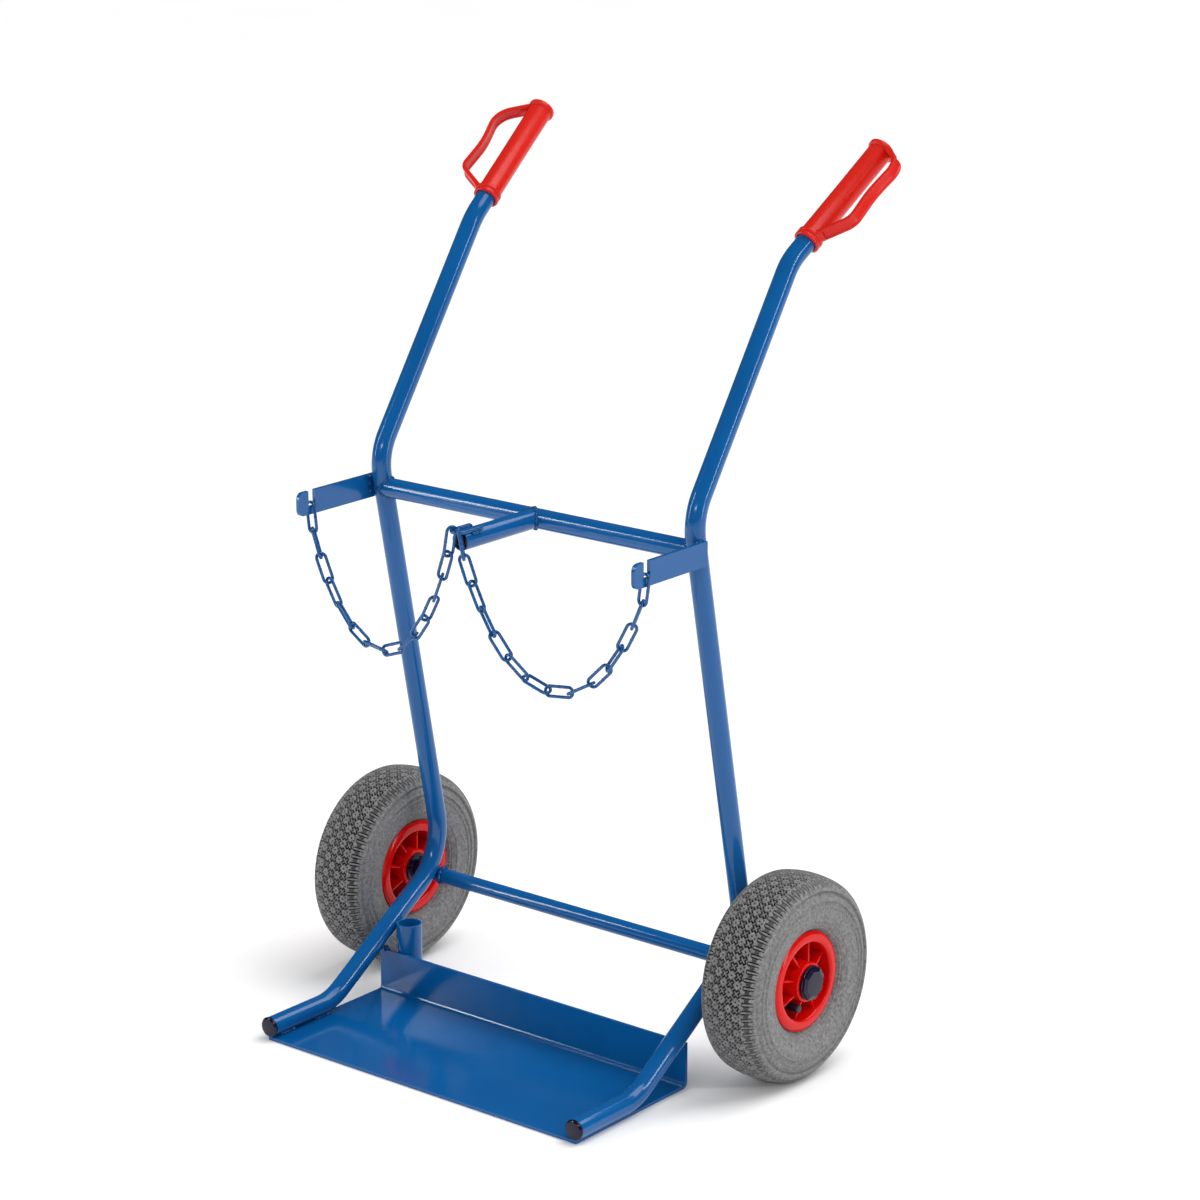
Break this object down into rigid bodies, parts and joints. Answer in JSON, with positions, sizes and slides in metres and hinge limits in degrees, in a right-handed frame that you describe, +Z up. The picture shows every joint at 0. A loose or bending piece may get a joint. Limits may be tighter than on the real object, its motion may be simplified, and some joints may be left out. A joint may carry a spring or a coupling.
{
  "type": "gas cylinder trolley",
  "caption": "Two-wheeled gas cylinder cart: bent tube frame with knuckle-guard grips, slotted brackets with retaining chains, toe plate and air-filled tyres.",
  "frame": {"origin": "middle of the bounding box's footprint, on the floor", "axes": "+Z up, -Y towards the side where the cylinders stand, X along the axle"},
  "size_m": [0.728, 0.5786, 1.1208],
  "materials": {
    "blue_paint": "gloss blue powder coat",
    "red_grip_rubber": "satin moulded red",
    "red_rim_plastic": "glossy red",
    "navy_plastic": "dark navy",
    "grey_tyre_rubber": "matt grey",
    "black_rubber": "matt black",
    "bearing_steel": "bright steel"
  },
  "bodies": {
    "frame": {"left_side_tube": "blue_paint", "right_side_tube": "blue_paint", "upper_cross_tube": "blue_paint", "centre_arm_tube": "blue_paint", "centre_arm_plug": "navy_plastic", "chain_eye": "blue_paint", "left_chain_bracket": "blue_paint", "right_chain_bracket": "blue_paint", "toe_plate": "blue_paint", "rod_socket": "blue_paint", "axle": "blue_paint", "left_axle_collar": "navy_plastic", "right_axle_collar": "navy_plastic", "left_hub_cap": "navy_plastic", "right_hub_cap": "navy_plastic", "left_foot_plug": "navy_plastic", "right_foot_plug": "navy_plastic", "left_grip": "red_grip_rubber", "right_grip": "red_grip_rubber"},
    "left_wheel": {"left_tyre": "grey_tyre_rubber", "left_inner_tube": "black_rubber", "left_rim": "red_rim_plastic", "left_valve": "black_rubber", "left_bearing_bush": "bearing_steel", "left_inner_ring": "navy_plastic"},
    "right_wheel": {"right_tyre": "grey_tyre_rubber", "right_inner_tube": "black_rubber", "right_rim": "red_rim_plastic", "right_valve": "black_rubber", "right_bearing_bush": "bearing_steel", "right_inner_ring": "navy_plastic"},
    "left_chain": {"left_chain_link_01": "blue_paint", "left_chain_link_02": "blue_paint", "left_chain_link_03": "blue_paint", "left_chain_link_04": "blue_paint", "left_chain_link_05": "blue_paint", "left_chain_link_06": "blue_paint", "left_chain_link_07": "blue_paint", "left_chain_link_08": "blue_paint", "left_chain_link_09": "blue_paint", "left_chain_link_10": "blue_paint", "left_chain_link_11": "blue_paint", "left_chain_link_12": "blue_paint", "left_chain_link_13": "blue_paint", "left_chain_link_14": "blue_paint"},
    "right_chain": {"right_chain_link_01": "blue_paint", "right_chain_link_02": "blue_paint", "right_chain_link_03": "blue_paint", "right_chain_link_04": "blue_paint", "right_chain_link_05": "blue_paint", "right_chain_link_06": "blue_paint", "right_chain_link_07": "blue_paint", "right_chain_link_08": "blue_paint", "right_chain_link_09": "blue_paint", "right_chain_link_10": "blue_paint", "right_chain_link_11": "blue_paint", "right_chain_link_12": "blue_paint", "right_chain_link_13": "blue_paint", "right_chain_link_14": "blue_paint"}
  },
  "joints": [
    {"name": "left_wheel_spin", "type": "hinge", "parent": "frame", "child": "left_wheel", "pos_m": [-0.3183, 0.0345, 0.13], "axis": [1, 0, 0], "continuous": true},
    {"name": "right_wheel_spin", "type": "hinge", "parent": "frame", "child": "right_wheel", "pos_m": [0.3183, 0.0345, 0.13], "axis": [1, 0, 0], "continuous": true},
    {"name": "left_chain_swing", "type": "hinge", "parent": "frame", "child": "left_chain", "pos_m": [-0.2634, -0.1734, 0.6717], "axis": [-0.9921, 0.1142, -0.0514], "range_deg": [0, 75]},
    {"name": "right_chain_swing", "type": "hinge", "parent": "frame", "child": "right_chain", "pos_m": [0.2634, -0.1734, 0.6717], "axis": [-0.9921, -0.1142, 0.0514], "range_deg": [0, 75]}
  ]
}
